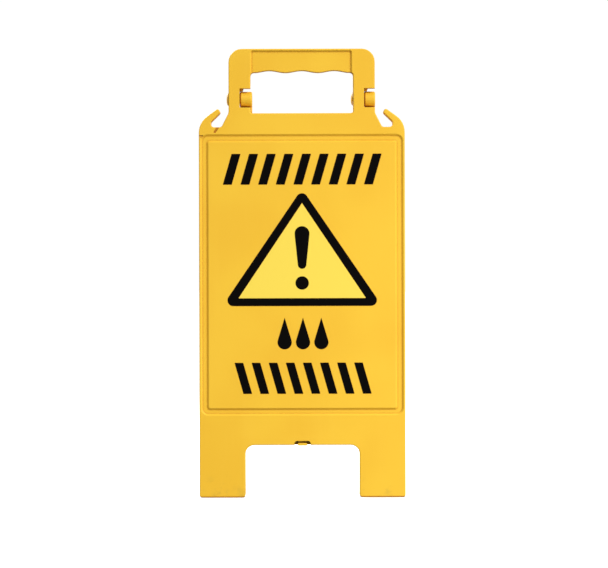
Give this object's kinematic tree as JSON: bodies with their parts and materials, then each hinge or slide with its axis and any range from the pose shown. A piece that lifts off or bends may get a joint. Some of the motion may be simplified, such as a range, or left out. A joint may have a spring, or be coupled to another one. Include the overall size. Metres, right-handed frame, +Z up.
{
  "type": "folding floor sign",
  "caption": "Free-standing two-panel floor sign with a carrying handle, chain hooks, feet and an inner stay, folded flat.",
  "frame": {"origin": "on the floor, midway between the two folded panels and midway across them", "axes": "+Z up, +X across the sign, the front panel's printed face looks along -Y"},
  "size_m": [0.292, 0.028, 0.636],
  "materials": {
    "body": "satin moulded polypropylene",
    "fitting": "satin black nylon",
    "hardware": "zinc plated"
  },
  "bodies": {
    "front_leaf": {"front_panel": "body", "hinge_pin_left": "body", "hinge_pin_right": "body", "hinge_retainer_left": "hardware", "hinge_retainer_right": "hardware", "stay_bracket": "fitting", "stay_bracket_screw_left": "hardware", "stay_bracket_screw_right": "hardware", "stay_pivot_rivet": "hardware"},
    "back_leaf": {"back_panel": "body", "closing_catch": "body", "stay_track": "fitting", "stay_track_screw_1": "hardware", "stay_track_screw_2": "hardware", "stay_track_screw_3": "hardware", "stay_track_screw_4": "hardware"},
    "stay": {"stay_arm": "fitting", "stay_slide_rivet": "hardware"}
  },
  "joints": [
    {"name": "main_hinge", "type": "hinge", "parent": "front_leaf", "child": "back_leaf", "pos_m": [0, 0, 0.5652], "axis": [1, 0, 0], "range_deg": [0, 26]},
    {"name": "stay_pivot", "type": "hinge", "parent": "front_leaf", "child": "stay", "pos_m": [0, 0, 0.3652], "axis": [1, 0, 0], "range_deg": [0, 61]}
  ],
  "couplings": [
    {"joint": "stay_pivot", "follows": "main_hinge", "ratio": 2.32}
  ]
}
